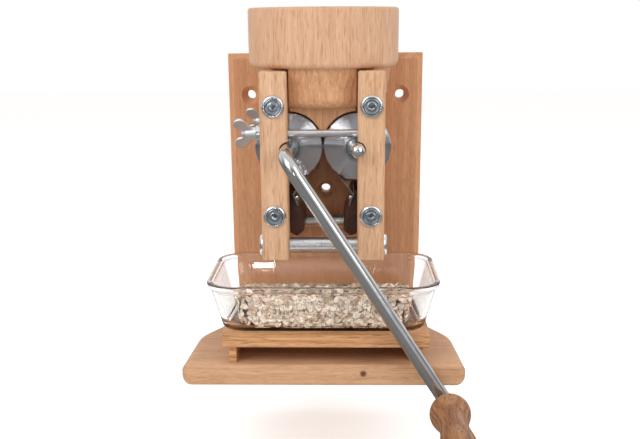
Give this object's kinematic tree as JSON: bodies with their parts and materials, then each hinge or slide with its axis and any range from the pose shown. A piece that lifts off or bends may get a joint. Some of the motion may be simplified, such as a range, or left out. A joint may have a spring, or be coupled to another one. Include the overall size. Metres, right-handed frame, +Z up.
{
  "type": "hand crank grain flaker",
  "caption": "Wall-hung hand crank grain flaker: turned hopper over steel rollers between square wooden posts, bent crank with turned grip, glass bowl on a bench.",
  "frame": {"origin": "midway between the two upper wall screw holes, on the back face of the wall board", "axes": "+X to the right seen from the front, +Y into the wall, +Z up"},
  "size_m": [0.2437, 0.3081, 0.3407],
  "materials": {
    "board_beech": "oiled beech",
    "base_beech": "oiled beech",
    "bench_beech": "oiled beech",
    "post_beech": "oiled beech",
    "ring_beech": "oiled beech, turned",
    "funnel_beech": "oiled beech, turned",
    "grip_beech": "dark oiled beech, turned",
    "dark_wood": "dark stained",
    "roller_steel": "turned steel",
    "rod_steel": "drawn bright steel",
    "crank_steel": "drawn bright steel",
    "polished_steel": "polished",
    "bearing_steel": "ground",
    "washer_zinc": "zinc plated",
    "screw_zinc": "zinc plated",
    "wing_zinc": "zinc plated, cast",
    "spring_steel": "thin spring steel",
    "bowl_glass": "pressed clear glass",
    "oat_flakes": "loose dry flakes"
  },
  "bodies": {
    "stand": {"wall_board": "board_beech", "base_board": "base_beech", "base_screws": "screw_zinc", "right_front_post": "post_beech", "right_rear_post": "post_beech", "post_spacer": "board_beech", "right_post_screws": "screw_zinc", "hopper_ring": "ring_beech", "funnel_body": "funnel_beech", "hopper_spacer": "board_beech", "hopper_screws": "screw_zinc", "throat_block": "funnel_beech", "right_stretchers": "rod_steel", "right_cup_washers": "washer_zinc", "right_frame_screws": "screw_zinc", "lower_rods": "rod_steel", "tension_rods": "rod_steel", "right_bearing_outer_rings": "bearing_steel", "right_bearing_balls": "bearing_steel", "right_scraper_springs": "spring_steel"},
    "left_cheek": {"left_front_post": "post_beech", "left_rear_post": "post_beech", "left_stretchers": "rod_steel", "left_cup_washers": "washer_zinc", "left_frame_screws": "screw_zinc", "left_bearing_outer_rings": "bearing_steel", "left_bearing_balls": "bearing_steel", "left_scraper_springs": "spring_steel"},
    "crank_set": {"drive_roller": "roller_steel", "drive_shaft": "rod_steel", "left_bearing_inner_rings": "bearing_steel", "crank_rod": "crank_steel", "grip_spindle": "rod_steel"},
    "hand_grip": {"grip": "grip_beech"},
    "driven_set": {"driven_roller": "roller_steel", "driven_shaft": "rod_steel", "right_bearing_inner_rings": "bearing_steel", "shaft_ball": "polished_steel"},
    "front_washer": {"front_gap_washer": "washer_zinc"},
    "front_nut": {"front_wing_nut": "wing_zinc"},
    "rear_washer": {"rear_gap_washer": "washer_zinc"},
    "rear_nut": {"rear_wing_nut": "wing_zinc"},
    "left_scraper": {"left_scraper_bar": "dark_wood", "left_scraper_blade": "spring_steel", "left_blade_screws": "screw_zinc"},
    "right_scraper": {"right_scraper_bar": "dark_wood", "right_scraper_blade": "spring_steel", "right_blade_screws": "screw_zinc"},
    "bench": {"bench_board": "bench_beech", "bench_runners": "bench_beech"},
    "bowl": {"glass_bowl": "bowl_glass", "oat_flakes": "oat_flakes"}
  },
  "joints": [
    {"name": "gap_tilt", "type": "hinge", "parent": "stand", "child": "left_cheek", "pos_m": [-0.02945, -0.0885, -0.1192], "axis": [0, -1, 0], "range_deg": [0, 0.6]},
    {"name": "crank_turn", "type": "hinge", "parent": "left_cheek", "child": "crank_set", "pos_m": [-0.02925, -0.0885, -0.0359], "axis": [0, -1, 0], "continuous": true},
    {"name": "driven_turn", "type": "hinge", "parent": "stand", "child": "driven_set", "pos_m": [0.02925, -0.0885, -0.0359], "axis": [0, -1, 0], "continuous": true},
    {"name": "grip_spin", "type": "hinge", "parent": "crank_set", "child": "hand_grip", "pos_m": [0.10509, -0.25, -0.24436], "axis": [0, -1, 0], "continuous": true},
    {"name": "front_washer_slide", "type": "slide", "parent": "stand", "child": "front_washer", "axis": [-1, 0, 0], "range_m": [0, 0.00102]},
    {"name": "front_nut_turn", "type": "hinge", "parent": "front_washer", "child": "front_nut", "pos_m": [-0.0559, -0.139, -0.0229], "axis": [-1, 0, 0], "range_deg": [0, 360.5]},
    {"name": "rear_washer_slide", "type": "slide", "parent": "stand", "child": "rear_washer", "axis": [-1, 0, 0], "range_m": [0, 0.00102]},
    {"name": "rear_nut_turn", "type": "hinge", "parent": "rear_washer", "child": "rear_nut", "pos_m": [-0.0559, -0.038, -0.0229], "axis": [-1, 0, 0], "range_deg": [0, 360.5]},
    {"name": "left_scraper_lift", "type": "hinge", "parent": "left_cheek", "child": "left_scraper", "pos_m": [-0.0408, -0.0885, -0.092], "axis": [0, 1, 0], "range_deg": [0, 5], "stiffness_Nm_per_rad": 0.2, "springref_deg": -11.46},
    {"name": "right_scraper_lift", "type": "hinge", "parent": "stand", "child": "right_scraper", "pos_m": [0.0408, -0.0885, -0.092], "axis": [0, -1, 0], "range_deg": [0, 5], "stiffness_Nm_per_rad": 0.2, "springref_deg": -11.46},
    {"name": "bench_slide", "type": "slide", "parent": "stand", "child": "bench", "axis": [-1, 0, 0], "range_m": [0, 0.11]},
    {"name": "bowl_lift", "type": "slide", "parent": "bench", "child": "bowl", "axis": [0, 0, 1], "range_m": [0, 0.015]}
  ],
  "couplings": [
    {"joint": "driven_turn", "follows": "crank_turn", "ratio": -1},
    {"joint": "front_washer_slide", "follows": "gap_tilt", "m_per_rad": 0.0963},
    {"joint": "rear_washer_slide", "follows": "gap_tilt", "m_per_rad": 0.0963},
    {"joint": "front_nut_turn", "follows": "gap_tilt", "ratio": 600},
    {"joint": "rear_nut_turn", "follows": "gap_tilt", "ratio": 600}
  ]
}
